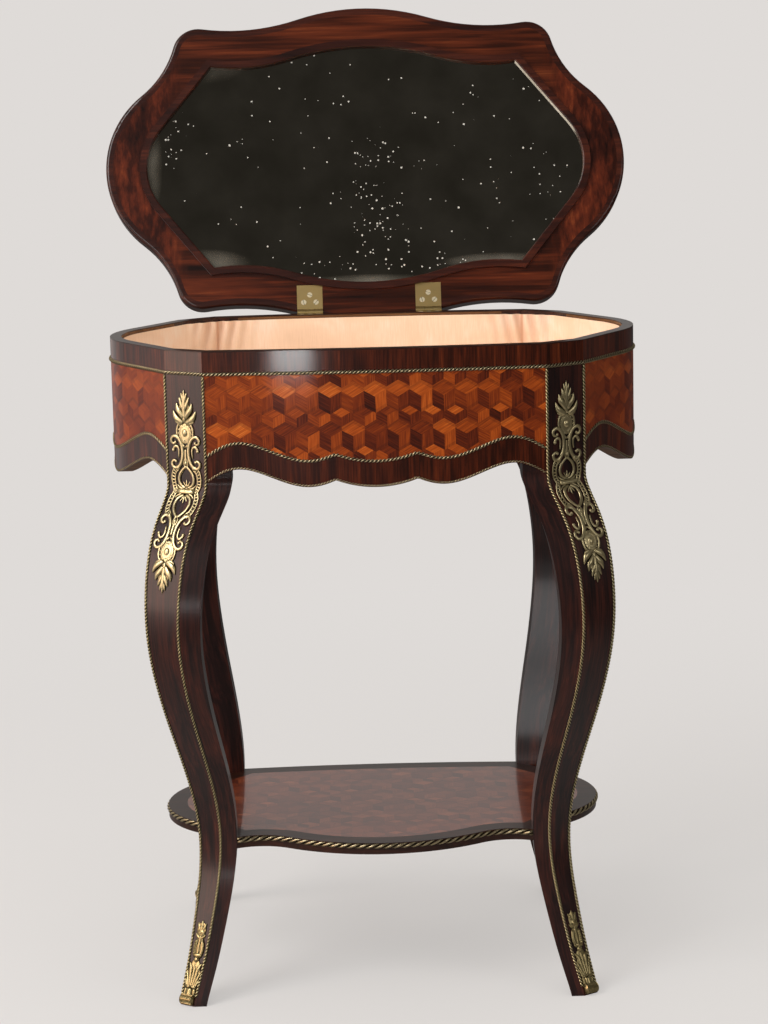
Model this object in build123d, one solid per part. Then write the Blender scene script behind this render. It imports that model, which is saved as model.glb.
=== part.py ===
from build123d import *
import os
from math import cos, radians, sin, sqrt, tan

os.makedirs("parts", exist_ok=True)

# ---------------------------------------------------------------- driving dimensions, mm
# Case, seen from above. Front and back are alike, and so are the two ends.
rim_height = 740.0          # floor to the top edge of the case
front_half = 188.0          # centre to the front edge of a canted corner
corner_depth = 170.0        # centre to that edge, front to back
front_bow = 9.0             # how far the front swells beyond its two edges
side_half = 230.0           # centre to the side edge of a canted corner
side_depth = 143.0          # centre to that edge, front to back
end_reach = 300.0           # centre to the crown of a bowed end
flank_angle = 33.0          # slant of an end's straight flank, from front to back

# Carcase and its veneers
wall = 13.0                 # rail with its veneer
veneer = 1.2
lipping = 1.2
floor_top = 632.0
floor_board = 8.0
ledge_width = 9.0
ledge_height = 7.0
post_return = 29.0          # how far a corner post reaches behind the front and the end
lining = 1.5
lining_drop = 4.0           # bare wood between the rim and the silk
ledge_short = 10.0          # glued strips stop short of the posts

# Bands and mouldings of the case
top_band_height = 25.0
apron_height = 29.0         # wavy moulding to the lower edge
rope_height = 5.0
rope_depth = 2.4
edge_rope_height = 3.4      # finer rope on the edge of the apron
edge_rope_depth = 1.7

# Lower edge of the apron, as offsets along the face and heights above the floor
skirt_room = 20.0           # the case's timber hangs this far below the leg tops before it is cut
spare = 60.0                # how far cutting shapes reach beyond what they cut
front_centre_low = 587.5
front_cusp = (45.0, 596.0)
front_trough = (76.0, 589.0)
front_crest = (145.0, 609.5)
front_end = 594.0
end_cusp = 598.0
end_trough = (36.0, 588.0)
end_crest = (103.0, 613.0)
end_end = 598.0

# Legs: the outer face leaves the case, swells at the knee, narrows at the ankle and kicks out
leg_top = 600.0
leg_line = [(0.0, 600.0), (24.0, 555.0), (49.0, 500.0), (56.0, 440.0), (16.0, 300.0),
            (-20.0, 178.0), (2.0, 80.0), (36.0, 0.0)]
leg_face_top = 51.0         # width of the outer face
leg_face_foot = 18.5
leg_flank_top = 28.0        # width of the two flanks beside it
leg_flank_foot = 14.5
leg_heel = 0.4              # cut-off of the heel, as a share of the flank
leg_lap = 10.0              # the post runs down into the leg by this much
leg_stations = 15
bead_size = 3.2
bead_foot = 12.0            # the beads end at the lowest station above this

# Corner mounts: half-widths and heights above the middle of the mount, upper half
mount_middle = 584.0
mount_depth = 3.2
mount_bed = 2.0             # how far its sheet is laid below the face before it is trimmed
palmette = [(7.2, 77.0), (12.2, 84.0), (13.5, 90.0), (6.6, 88.0), (8.3, 98.5), (3.4, 96.0), (3.2, 104.0)]
palmette_tip = 112.0
cabochon = [(7.0, 55.5), (11.0, 63.0), (11.0, 72.0)]
cabochon_point = 49.4
scroll_line = [(15.2, 56.0), (4.6, 43.5), (14.8, 30.5)]
scroll_width = 3.8
rosette_height = 31.7
rosette_size = 9.5
stem_width = 6.6            # binds cabochon, scrolls and rosette
ribbon_height = 15.5
ribbon_outer = (11.4, 14.2)
ribbon_hole = (8.0, 8.5)
bar_line = [(9.6, 25.8), (17.4, 12.5), (13.4, 0.0)]
bar_width = 4.2
clasp = (24.0, 5.0)

# Sabots: half-widths and heights above the floor
sabot_depth = 2.6
sabot_outline = [(6.0, 2.0), (6.2, 21.0), (8.4, 46.0), (4.0, 52.0), (6.4, 58.0), (6.0, 73.0), (3.4, 76.5),
                 (4.6, 84.0), (3.2, 88.0), (3.4, 92.0)]
sabot_top = 98.0
toe_radius = 6.0
toe_height = 7.0
toe_width = 15.0
toe_set_back = 1.0

# Shelf
shelf_height = 183.5        # floor to the top of the shelf
shelf_board_height = 12.0
shelf_front = 183.0
shelf_bulge_radius = 200.0
shelf_dip_radius = 60.0
shelf_back = 141.0
shelf_corner = (168.0, 147.0)
shelf_back_corner = 134.0
shelf_end_corner = (213.0, 84.0)
shelf_tip = 253.0
shelf_border_width = 22.0
shelf_rope_height = 7.0
dowel_radius = 4.0
dowel_length = 26.0
dowel_inset = 8.0           # from the leg's outer face to the end of the dowel

# Lid, seen from above: bulge, dip, corner lobe, waist and rounded end
lid_half_depth = 197.0
lid_bulge_radius = 260.0
lid_dip_radius = 260.0
lid_lobe_centre = (202.0, 144.0)
lid_lobe_radius = 31.5
lid_waist_radius = 120.0
lid_end_radius = 118.0
lid_half_width = 317.0
lid_gap = 0.3               # closed lid above the rim
lid_lean = 17.5             # how far the open lid leans back past upright
lid_frame_height = 10.0
lid_height = 22.0
lid_edge_width = 9.0
lid_edge_round = 4.0
lid_border_width = 24.0

# Mirror in the underside of the lid, as its visible outline
mirror_half_depth = 147.0
mirror_bulge_radius = 300.0
mirror_dip_radius = 220.0
mirror_corner = (187.0, 125.0)
mirror_half_width = 266.5
mirror_flank_angle = 39.0
glass = 3.0
glass_depth = 3.0           # face of the frame to the face of the glass
glass_lap = 2.5             # glass hidden behind the moulding
mirror_moulding_width = 9.0
mirror_moulding_height = 3.5
frame_lip = 3.0             # opening of the frame beyond the visible glass
moulding_round = 1.5

# Hinges
hinge_offset = 72.0
hinge_width = 31.0
leaf = 2.0
lid_leaf_length = 34.0
case_leaf_length = 16.0
knuckle_radius = 4.0
pin_radius = 1.6
running_gap = 0.05
knuckle_gap = 0.2
hinge_room = 0.4
stop_gap = 0.3
screw_head_radius = 3.2
screw_radius = 1.4
screw_length = 8.0
screw_slot = 0.8
slot_turn = 40.0            # the slots come to rest at odd angles
case_screws = [(-10.0, 11.0), (0.0, 11.0), (10.0, 11.0)]    # across the leaf, and from the pin
lid_screws = [(0.0, 22.0), (-7.5, 13.0), (7.5, 13.0)]

SIDES = {"front_left": (-1, 1), "front_right": (1, 1), "rear_left": (-1, -1), "rear_right": (1, -1)}


# ---------------------------------------------------------------- plans and profiles
def swing(centre, start, end):
    """The arc about a centre from start to end, as three points."""
    c, a, b = Vector(*centre), Vector(*start), Vector(*end)
    middle = c + ((a - c) + (b - c)).normalized() * (a - c).length
    return [a, middle, b]


def towards(centre, radius, other):
    """The point of a circle that faces another point."""
    c = Vector(*centre)
    return c + (Vector(*other) - c).normalized() * radius


def touching(centre_a, radius_a, centre_b, radius_b, radius):
    """Centre of the circle that touches two others from outside, on the left of a to b."""
    a, b = Vector(*centre_a), Vector(*centre_b)
    along = b - a
    reach = along.length
    run = ((radius_a + radius) ** 2 - (radius_b + radius) ** 2 + reach**2) / (2 * reach)
    rise = sqrt((radius_a + radius) ** 2 - run**2)
    unit = along.normalized()
    centre = a + unit * run + Vector(-unit.Y, unit.X) * rise
    return (centre.X, centre.Y)


def quarter_edges(runs, flip_x, flip_y):
    edges = []
    for run in runs:
        points = [(flip_x * Vector(*p).X, flip_y * Vector(*p).Y) for p in run]
        edges.append(Line(*points) if len(points) == 2 else ThreePointArc(*points))
    return edges


def plan(front, back=None):
    """A closed plan from the runs of its front quarter and its back quarter."""
    edges = []
    for flip_x in (1, -1):
        edges += quarter_edges(front, flip_x, -1)
        edges += quarter_edges(back or front, flip_x, 1)
    return make_face(edges)


def case_plan():
    bow_radius = (front_half**2 + front_bow**2) / (2 * front_bow)
    crown = corner_depth + front_bow
    a = radians(flank_angle)
    end_radius = (end_reach - side_half - side_depth * tan(a)) / (1 - cos(a) - sin(a) * tan(a))
    end_centre = (end_reach - end_radius, 0)
    spring = (end_reach - end_radius * (1 - cos(a)), end_radius * sin(a))
    return plan([
        swing((0, crown - bow_radius), (0, crown), (front_half, corner_depth)),
        [(front_half, corner_depth), (side_half, side_depth)],
        [(side_half, side_depth), spring],
        swing(end_centre, spring, (end_reach, 0)),
    ])


def lid_plan():
    bulge = (0, lid_half_depth - lid_bulge_radius)
    end = (lid_half_width - lid_end_radius, 0)
    dip = touching(bulge, lid_bulge_radius, lid_lobe_centre, lid_lobe_radius, lid_dip_radius)
    waist = touching(lid_lobe_centre, lid_lobe_radius, end, lid_end_radius, lid_waist_radius)
    joints = [towards(bulge, lid_bulge_radius, dip), towards(lid_lobe_centre, lid_lobe_radius, dip),
              towards(lid_lobe_centre, lid_lobe_radius, waist), towards(end, lid_end_radius, waist)]
    return plan([
        swing(bulge, (0, lid_half_depth), joints[0]),
        swing(dip, joints[0], joints[1]),
        swing(lid_lobe_centre, joints[1], joints[2]),
        swing(waist, joints[2], joints[3]),
        swing(end, joints[3], (lid_half_width, 0)),
    ])


def mirror_plan():
    bulge = (0, mirror_half_depth - mirror_bulge_radius)
    dip = touching(bulge, mirror_bulge_radius, mirror_corner, 0, mirror_dip_radius)
    joint = towards(bulge, mirror_bulge_radius, dip)
    a = radians(mirror_flank_angle)
    corner_x, corner_y = mirror_corner
    radius = (mirror_half_width - corner_x - corner_y * tan(a)) / (1 - cos(a) - sin(a) * tan(a))
    spring = (mirror_half_width - radius * (1 - cos(a)), radius * sin(a))
    return plan([
        swing(bulge, (0, mirror_half_depth), joint),
        swing(dip, joint, mirror_corner),
        [mirror_corner, spring],
        swing((mirror_half_width - radius, 0), spring, (mirror_half_width, 0)),
    ])


def shelf_plan():
    end_x, end_y = shelf_end_corner
    end_sag = shelf_tip - end_x
    end_radius = (end_y**2 + end_sag**2) / (2 * end_sag)
    corner_x, corner_y = shelf_corner
    bulge = (0, shelf_front - shelf_bulge_radius)
    dip = touching(bulge, shelf_bulge_radius, shelf_corner, 0, shelf_dip_radius)
    joint = towards(bulge, shelf_bulge_radius, dip)
    back_sag = shelf_back - shelf_back_corner
    back_radius = (corner_x**2 + back_sag**2) / (2 * back_sag)
    end = swing((shelf_tip - end_radius, 0), shelf_end_corner, (shelf_tip, 0))
    front = [swing(bulge, (0, shelf_front), joint), swing(dip, joint, shelf_corner),
             [shelf_corner, shelf_end_corner], end]
    back = [swing((0, shelf_back - back_radius), (0, shelf_back), (corner_x, shelf_back_corner)),
            [(corner_x, shelf_back_corner), shelf_end_corner], end]
    return plan(front, back)


def grown(face, amount):
    return offset(face, amount=amount, kind=Kind.INTERSECTION)


def slab(face, low, high):
    return extrude(Pos(0, 0, low) * face, amount=high - low)


def band(outer, inner, low, high):
    return slab(outer, low, high) - slab(inner, low, high)


def block(x0, x1, y0, y1, z0, z1):
    return Pos((x0 + x1) / 2, (y0 + y1) / 2, (z0 + z1) / 2) * Box(x1 - x0, y1 - y0, z1 - z0)


def save(name, shape):
    """One STEP file for a piece; loose solids of one piece stay together in it."""
    solids = shape.solids() if hasattr(shape, "solids") else list(shape)
    export_step(solids[0] if len(solids) == 1 else Compound(children=solids), f"parts/{name}.step")


def wave_edges(low, cusp, trough, crest, end, rise):
    """One long wavy edge: a low centre lobe or a cusp, a trough, a crest and the end."""
    right = Curve()
    points = [Vector(*p) for p in (trough, crest, end)]
    if cusp[0] > 0:
        right += ThreePointArc((-cusp[0], cusp[1]), (0, low), cusp)
    points.insert(0, Vector(*cusp))
    start_slope = (trough[1] - cusp[1]) / (trough[0] - cusp[0]) * 2
    curve = Spline(*points, tangents=[(1, start_slope), (1, -0.7)])
    edges = [Pos(0, rise) * e for e in (right + curve + mirror(curve, Plane.YZ)).edges()]
    return edges


def under(edges, end, rise, plane):
    """Everything below a wavy edge, right through the case."""
    base = leg_top - spare
    level = end[1] + rise
    sides = [Line((end[0], level), (end[0], base)), Line((end[0], base), (-end[0], base)),
             Line((-end[0], base), (-end[0], level))]
    return extrude(plane * make_face(edges + sides), amount=end_reach + spare, both=True)


def under_front(rise):
    end = (front_half, front_end)
    edges = wave_edges(front_centre_low, front_cusp, front_trough, front_crest, end, rise)
    return under(edges, end, rise, Plane.XZ)


def under_ends(rise):
    end = (side_depth, end_end)
    edges = wave_edges(end_cusp, (0.0, end_cusp), end_trough, end_crest, end, rise)
    return under(edges, end, rise, Plane.YZ)


# ---------------------------------------------------------------- case shells
outside = case_plan()
ground = grown(outside, -veneer)
inside = grown(outside, -wall)
base_height = leg_top - skirt_room
band_foot = rim_height - top_band_height
ground_top = rim_height - lipping
post_x = front_half - post_return
post_y = side_depth - post_return

panel_x = front_half - bead_size / 2
panel_y = side_depth - bead_size / 2

FRONT = block(-panel_x, panel_x, -corner_depth - spare, -side_depth, base_height, rim_height)
BACK = mirror(FRONT, Plane.XZ)
RIGHT = block(side_half, end_reach + spare, -panel_y, panel_y, base_height, rim_height)
LEFT = mirror(RIGHT, Plane.YZ)

front_cut, end_cut = under_front(0), under_ends(0)
front_rope_line, end_rope_line = under_front(apron_height), under_ends(apron_height)
half_rope = rope_height / 2
front_rope = under_front(apron_height + half_rope) - under_front(apron_height - half_rope)
end_rope = under_ends(apron_height + half_rope) - under_ends(apron_height - half_rope)
front_edge_rope = under_front(edge_rope_height) - front_cut
end_edge_rope = under_ends(edge_rope_height) - end_cut

ZONES = {"front": FRONT, "back": BACK, "left": LEFT, "right": RIGHT}
LOWER = {"front": front_cut, "back": front_cut, "left": end_cut, "right": end_cut}
ROPE_LINE = {"front": front_rope_line, "back": front_rope_line, "left": end_rope_line, "right": end_rope_line}
ROPE = {"front": front_rope, "back": front_rope, "left": end_rope, "right": end_rope}
EDGE_ROPE = {"front": front_edge_rope, "back": front_edge_rope, "left": end_edge_rope, "right": end_edge_rope}

# Veneers on the front, back and ends, between the canted corners
skin = band(outside, ground, base_height, band_foot)
top_skin = band(outside, ground, band_foot, ground_top)
panels = {side: (skin & ZONES[side]) - ROPE_LINE[side] for side in ZONES}
aprons = {side: (skin & ZONES[side] & ROPE_LINE[side]) - LOWER[side] for side in ZONES}

# ---------------------------------------------------------------- legs
chamfer = Vector(side_half - front_half, corner_depth - side_depth).normalized()
outward = Vector(chamfer.Y, -chamfer.X)
corner_a = Vector(front_half, -corner_depth)
corner_b = Vector(side_half, -side_depth)
corner_middle = (corner_a + corner_b) * 0.5
leg_spline = Spline(*leg_line, tangents=[(0, -1), (0.5, -1)])


def taper(foot, top, height):
    return foot + (top - foot) * min(height, leg_top) / leg_top


def leg_station(share):
    """Reach from the case corner and height of the leg's outer face."""
    p = leg_spline @ share
    return p.X, max(p.Y, 0.0)


def leg_corners(reach, height):
    """The two arrises of the outer face at a height."""
    middle = corner_middle + outward * reach
    half = taper(leg_face_foot, leg_face_top, height) / 2
    return middle + chamfer * half, middle - chamfer * half


def leg_section(reach, height):
    side, front = leg_corners(reach, height)
    flank = taper(leg_flank_foot, leg_flank_top, height)
    heel = leg_heel * flank
    points = [side, front, front + Vector(-flank, 0),
              Vector(front.X - flank, side.Y + flank - heel), Vector(side.X - heel, side.Y + flank),
              side + Vector(0, flank)]
    return Pos(0, 0, height) * make_face(Polyline(*[(p.X, p.Y) for p in points], close=True))


def bead_section(point, height):
    square = Rectangle(bead_size, bead_size)
    return Pos(point.X, point.Y, height) * square


stations = [leg_station(i / (leg_stations - 1)) for i in range(leg_stations)]
leg_curve = loft([leg_section(reach, height) for reach, height in reversed(stations)])
bead_top = band_foot - half_rope
leg_bead_pair = []
for which in (0, 1):
    points = [(leg_corners(reach, height)[which], height) for reach, height in stations]
    foot = loft([bead_section(p, h) for p, h in reversed(points) if h > bead_foot])
    top = points[0][0]
    stem = block(top.X - bead_size / 2, top.X + bead_size / 2, top.Y - bead_size / 2,
                 top.Y + bead_size / 2, leg_top, bead_top)
    leg_bead_pair.append(foot + stem)
leg_beads = leg_bead_pair[0] + leg_bead_pair[1]

# The post: the canted corner of the carcase, carried on the full section of the leg
post_zone = block(post_x, end_reach + spare, -corner_depth - spare, -post_y, leg_top - leg_lap, rim_height)
post = band(outside, inside, leg_top - leg_lap, ground_top) & post_zone
post = post - front_cut - end_cut
shoulder = extrude(leg_section(0, leg_top), amount=floor_top - floor_board - leg_top)
shoulder = shoulder & slab(outside, leg_top, floor_top)
solid_leg = leg_curve + shoulder + post - top_skin
for side in ("front", "right"):
    solid_leg = solid_leg - panels[side] - aprons[side]

# ---------------------------------------------------------------- shelf between the legs
board_top = shelf_height - veneer
board_foot = board_top - shelf_board_height
shelf_outline = shelf_plan()
shelf_field = grown(shelf_outline, -shelf_border_width)


def four_ways(shape):
    """A front right piece and its three mirror images, keyed by corner."""
    turned = {}
    for name, (flip_x, flip_y) in SIDES.items():
        piece = shape if flip_x > 0 else mirror(shape, Plane.YZ)
        turned[name] = piece if flip_y > 0 else mirror(piece, Plane.XZ)
    return turned


# Dowels run along the diagonal from the shelf into the heel of each leg
dowel_height = board_foot + shelf_board_height / 2
shelf_reach = min(stations, key=lambda s: abs(s[1] - dowel_height))[0]
dowel_start = corner_middle + outward * (shelf_reach - dowel_length - dowel_inset)
dowel_plane = Plane(origin=(dowel_start.X, dowel_start.Y, dowel_height), z_dir=outward)
dowel = extrude(dowel_plane * Circle(dowel_radius), amount=dowel_length)
solid_leg = solid_leg - dowel

legs = four_ways(max((solid_leg - leg_beads).solids(), key=lambda solid: solid.volume))
full_legs = four_ways(solid_leg + dowel)
beads = four_ways(leg_beads)
dowels = four_ways(dowel)

shelf_pieces = {
    "shelf_board": slab(shelf_outline, board_foot, board_top),
    "shelf_parquetry": slab(shelf_field, board_top, shelf_height),
    "shelf_border": band(shelf_outline, shelf_field, board_top, shelf_height),
    "shelf_rope": band(grown(shelf_outline, rope_depth), shelf_outline,
                       shelf_height - shelf_rope_height, shelf_height),
}
for name, piece in shelf_pieces.items():
    for corner in SIDES:
        piece = piece - full_legs[corner] - beads[corner]
        if name == "shelf_board":
            piece = piece - dowels[corner]
    shelf_pieces[name] = piece

# ---------------------------------------------------------------- corner mounts and sabots
mount_plane = Plane(origin=(corner_middle.X, corner_middle.Y, 0), x_dir=chamfer, z_dir=outward)


def face_slab(depth):
    """A layer that follows the outer face of post and leg, from inside it to depth proud."""
    rise = Line((0, leg_top), (0, bead_top))
    line = Spline(*leg_line, tangents=[(0, -1), (0.5, -1)])
    front = [Pos(depth, 0) * e for e in (line, rise)]
    rear = [Pos(-mount_bed, 0) * e for e in (line, rise)]
    last = stations[-1][0]
    caps = [Line((last + depth, 0), (last - mount_bed, 0)), Line((depth, bead_top), (-mount_bed, bead_top))]
    cut = Plane(origin=(corner_middle.X, corner_middle.Y, 0), x_dir=outward, z_dir=-chamfer)
    return extrude(cut * make_face(front + rear + caps), amount=leg_face_top / 2, both=True)


def both_sides(points, *middle):
    """A closed outline from its right-hand points and the points on its middle line."""
    left = [(-x, y) for x, y in reversed(points)]
    return make_face(Polyline(*points, *middle, *left, close=True))


def mount_half_outline():
    """Upper half of the mount: barred ribbon, rosette, paired scrolls, cabochon and palmette."""
    shape = Pos(0, ribbon_height) * (Ellipse(*ribbon_outer) - Ellipse(*ribbon_hole))
    shape += Pos(0, rosette_height) * Rot(0, 0, 45) * Rectangle(rosette_size, rosette_size)
    stem_foot, stem_top = rosette_height, cabochon[0][1]
    shape += Pos(0, (stem_foot + stem_top) / 2) * Rectangle(stem_width, stem_top - stem_foot)
    shape += both_sides([(0.5, cabochon_point), *cabochon, *palmette], (0, palmette_tip))
    for side in (-1, 1):
        for line, width in ((scroll_line, scroll_width), (bar_line, bar_width)):
            shape += trace(ThreePointArc(*[(side * x, y) for x, y in line]), width)
    return shape


def corner_mount():
    half = mount_half_outline()
    outline = half + mirror(half, Plane.XZ) + Rectangle(*clasp)
    sheet = extrude(mount_plane * Pos(0, mount_middle) * outline, amount=end_reach)
    return (sheet & face_slab(mount_depth)) - leg_curve - post


def sabot():
    sheet = extrude(mount_plane * both_sides(sabot_outline, (0, sabot_top)), amount=spare)
    middle = corner_middle + outward * (stations[-1][0] - toe_set_back)
    roll_plane = Plane(origin=(middle.X, middle.Y, toe_height), z_dir=chamfer)
    roll = extrude(roll_plane * Circle(toe_radius), amount=toe_width / 2, both=True)
    return ((sheet & face_slab(sabot_depth)) + roll) - leg_curve - leg_beads


mounts = four_ways(corner_mount())
sabots = four_ways(sabot())
for corner in SIDES:
    save(f"leg_{corner}", legs[corner])
    save(f"leg_beads_{corner}", beads[corner])
    save(f"corner_mount_{corner}", mounts[corner])
    save(f"sabot_{corner}", sabots[corner])
for name, piece in shelf_pieces.items():
    save(name, piece)
save("shelf_dowels", Compound(children=[d.solid() for d in dowels.values()]))


# ---------------------------------------------------------------- hinges
# The pin stands behind the case so that the open lid comes to rest against the back
lean = sin(radians(lid_lean))
pin_y = (corner_depth + front_bow + stop_gap + lid_half_depth * lean) / (1 + lean)
lid_foot = rim_height + lid_gap
pin_z = rim_height + lid_gap / 2
half_hinge = hinge_width / 2
half_knuckle = hinge_width / 6


def rod(radius, low, high):
    """A rod along the hinge line of a hinge that is centred on x = 0."""
    return Pos((low + high) / 2, pin_y, pin_z) * Cylinder(radius, high - low, rotation=(0, 90, 0))


def outer_rods(radius):
    return rod(radius, -half_hinge, -half_knuckle) + rod(radius, half_knuckle, half_hinge)


def screw_blank(x, from_pin, face, upwards):
    """Countersunk head and shank of a screw whose head lies flush with a face."""
    head = Pos(0, 0, -leaf / 2) * Cone(screw_radius, screw_head_radius, leaf)
    shank_length = screw_length - leaf
    shank = Pos(0, 0, -leaf - shank_length / 2) * Cylinder(screw_radius, shank_length)
    blank = head + shank
    return Pos(x, pin_y - from_pin, face) * (Rot(180, 0, 0) * blank if upwards else blank)


def slotted(blank, x, from_pin, face):
    slot = Rot(0, 0, slot_turn * x + from_pin) * Box(2 * screw_head_radius, screw_slot, 2 * screw_slot)
    return blank - Pos(x, pin_y - from_pin, face) * slot


def both_hinges(shape):
    return [Pos(side * hinge_offset, 0, 0) * shape for side in (-1, 1)]


def less(shape, tools):
    for tool in tools:
        shape = shape - tool
    return shape


def gathered(shapes):
    return [solid for shape in shapes for solid in shape.solids()]


turning_room = knuckle_radius + hinge_room
case_blanks = [screw_blank(x, d, rim_height, False) for x, d in case_screws]
lid_blanks = [screw_blank(x, d, lid_foot, True) for x, d in lid_screws]
case_plate = block(-half_hinge, half_hinge, pin_y - case_leaf_length, pin_y, rim_height - leaf, rim_height)
lid_plate = block(-half_hinge, half_hinge, pin_y - lid_leaf_length, pin_y, lid_foot, lid_foot + leaf)
pin = rod(pin_radius, -half_hinge, half_hinge)
case_leaf = (case_plate - rod(turning_room, -half_knuckle, half_knuckle)) + outer_rods(knuckle_radius)
case_leaf = less(case_leaf, [pin, *case_blanks])
lid_leaf = (lid_plate - outer_rods(turning_room))
lid_leaf += rod(knuckle_radius, -half_knuckle + knuckle_gap, half_knuckle - knuckle_gap)
lid_leaf = less(lid_leaf, [rod(pin_radius + running_gap, -half_hinge, half_hinge), *lid_blanks])
case_pockets = both_hinges(case_plate) + [p for blank in case_blanks for p in both_hinges(blank)]
lid_pockets = both_hinges(lid_plate) + both_hinges(rod(turning_room, -half_hinge, half_hinge))
lid_pockets += [p for blank in lid_blanks for p in both_hinges(blank)]
case_screw_set = [slotted(b, x, d, rim_height) for b, (x, d) in zip(case_blanks, case_screws)]
lid_screw_set = [slotted(b, x, d, lid_foot) for b, (x, d) in zip(lid_blanks, lid_screws)]

save("hinge_case_leaves", gathered(both_hinges(case_leaf)))
save("hinge_pins", gathered(both_hinges(pin)))
save("hinge_case_screws", gathered([p for one in case_screw_set for p in both_hinges(one)]))

# ---------------------------------------------------------------- case
carcase = band(ground, inside, base_height, ground_top)
between_posts = {
    "front": block(-post_x, post_x, -corner_depth - spare, 0, base_height, rim_height),
    "right": block(0, end_reach + spare, -post_y, post_y, base_height, rim_height),
}
between_posts["back"] = mirror(between_posts["front"], Plane.XZ)
between_posts["left"] = mirror(between_posts["right"], Plane.YZ)
corner_beads = list(beads.values())
proud = band(grown(outside, rope_depth), outside, base_height, band_foot)
proud_edge = band(grown(outside, edge_rope_depth), outside, base_height, band_foot)
apron_ropes, edge_ropes = [], []
for side, zone in ZONES.items():
    rail = (carcase & between_posts[side]) - LOWER[side]
    save(f"{side}_rail", less(rail, case_pockets))
    save(f"{side}_parquetry", less(panels[side], corner_beads))
    save(f"{side}_apron_band", less(aprons[side], corner_beads))
    apron_ropes.append(less(proud & zone & ROPE[side], corner_beads))
    edge_ropes.append(less(proud_edge & zone & EDGE_ROPE[side], corner_beads + list(full_legs.values())))
save("apron_ropes", gathered(apron_ropes))
save("apron_edge_ropes", gathered(edge_ropes))
save("top_band", less(top_skin, case_pockets))
save("rim_lipping", less(band(outside, inside, ground_top, rim_height), case_pockets))
save("upper_rope", band(grown(outside, rope_depth), outside, band_foot - half_rope, band_foot + half_rope))

floor_foot = floor_top - floor_board
ledge_ring = band(inside, grown(inside, -ledge_width), floor_foot - ledge_height, floor_foot)
ledge_x, ledge_y = post_x - ledge_short, post_y - ledge_short
ledges = ledge_ring & block(-ledge_x, ledge_x, -corner_depth, corner_depth, 0, rim_height)
end_ledges = ledge_ring & block(-end_reach, end_reach, -ledge_y, ledge_y, 0, rim_height)
lined = grown(inside, -lining)
save("case_floor", slab(inside, floor_foot, floor_top))
save("floor_ledges", gathered([ledges, end_ledges]))
save("lining_walls", band(inside, lined, floor_top, rim_height - lining_drop))
save("lining_floor", slab(lined, floor_top, floor_top + lining))

# ---------------------------------------------------------------- lid, modelled shut and then opened
def rim_edges(shape, outline, height):
    """Edges of a shape that lie on an outline at a height."""
    marks = [Vector(e.center(CenterOf.MASS).X, e.center(CenterOf.MASS).Y, height) for e in outline.edges()]
    return [e for e in shape.edges() if any((e.center(CenterOf.MASS) - m).length < 0.05 for m in marks)]


lid_outline = lid_plan()
lid_core = grown(lid_outline, -lid_edge_width)
lid_field = grown(lid_core, -lid_border_width)
sight = mirror_plan()
frame_opening = grown(sight, frame_lip)
glass_outline = grown(sight, glass_lap)
glass_foot = lid_foot + glass_depth
frame_top = lid_foot + lid_frame_height
lid_top = lid_foot + lid_height

edge = band(lid_outline, lid_core, lid_foot, lid_top)
edge = fillet(rim_edges(edge, lid_outline, lid_foot), lid_edge_round)
moulding = band(grown(sight, mirror_moulding_width), sight, lid_foot - mirror_moulding_height, lid_foot)
moulding_foot = lid_foot - mirror_moulding_height
moulding += band(frame_opening, sight, lid_foot, glass_foot)
lid_pieces = {
    "lid_frame": less(band(lid_core, frame_opening, lid_foot, frame_top), lid_pockets),
    "lid_board": slab(lid_core, frame_top, lid_top - veneer),
    "lid_edge_moulding": less(edge, lid_pockets),
    "lid_top_border": band(lid_core, lid_field, lid_top - veneer, lid_top),
    "lid_top_parquetry": slab(lid_field, lid_top - veneer, lid_top),
    "mirror_glass": slab(glass_outline, glass_foot, glass_foot + glass),
    "mirror_backboard": slab(glass_outline, glass_foot + glass, frame_top),
    "mirror_moulding": fillet(rim_edges(moulding, sight, moulding_foot), moulding_round),
    "hinge_lid_leaves": gathered(both_hinges(lid_leaf)),
    "hinge_lid_screws": gathered([p for one in lid_screw_set for p in both_hinges(one)]),
}
opened = Pos(0, pin_y, pin_z) * Rot(-90 - lid_lean, 0, 0) * Pos(0, -pin_y, -pin_z)
for name, piece in lid_pieces.items():
    solids = piece if isinstance(piece, list) else piece.solids()
    save(name, [opened * solid for solid in solids])
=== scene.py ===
from math import cos, exp, pi, radians, sin, sqrt

import bpy
from mathutils import Matrix, Vector


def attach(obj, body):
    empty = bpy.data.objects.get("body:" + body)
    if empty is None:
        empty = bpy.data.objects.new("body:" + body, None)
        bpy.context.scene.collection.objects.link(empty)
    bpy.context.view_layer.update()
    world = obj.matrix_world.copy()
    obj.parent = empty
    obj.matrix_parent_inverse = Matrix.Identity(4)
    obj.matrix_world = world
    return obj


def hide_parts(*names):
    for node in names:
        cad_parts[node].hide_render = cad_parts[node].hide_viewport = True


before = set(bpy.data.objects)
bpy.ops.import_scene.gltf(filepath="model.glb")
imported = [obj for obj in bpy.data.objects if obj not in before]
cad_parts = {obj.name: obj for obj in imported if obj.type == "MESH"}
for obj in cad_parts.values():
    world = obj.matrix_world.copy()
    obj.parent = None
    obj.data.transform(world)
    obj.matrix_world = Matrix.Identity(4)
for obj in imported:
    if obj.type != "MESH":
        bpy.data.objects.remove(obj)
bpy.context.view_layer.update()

# ---------------------------------------------------------------- carcase
# The four bowed rails, the bottom board and the glued strips under it. They are plain oak,
# planed and waxed, and show only inside the case above the silk and from underneath.


def linear(hex_colour):
    """An sRGB hex colour as linear red, green, blue and alpha."""
    channels = [int(hex_colour[i:i + 2], 16) / 255 for i in (0, 2, 4)]
    return [c / 12.92 if c <= 0.04045 else ((c + 0.055) / 1.055) ** 2.4 for c in channels] + [1.0]


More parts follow.
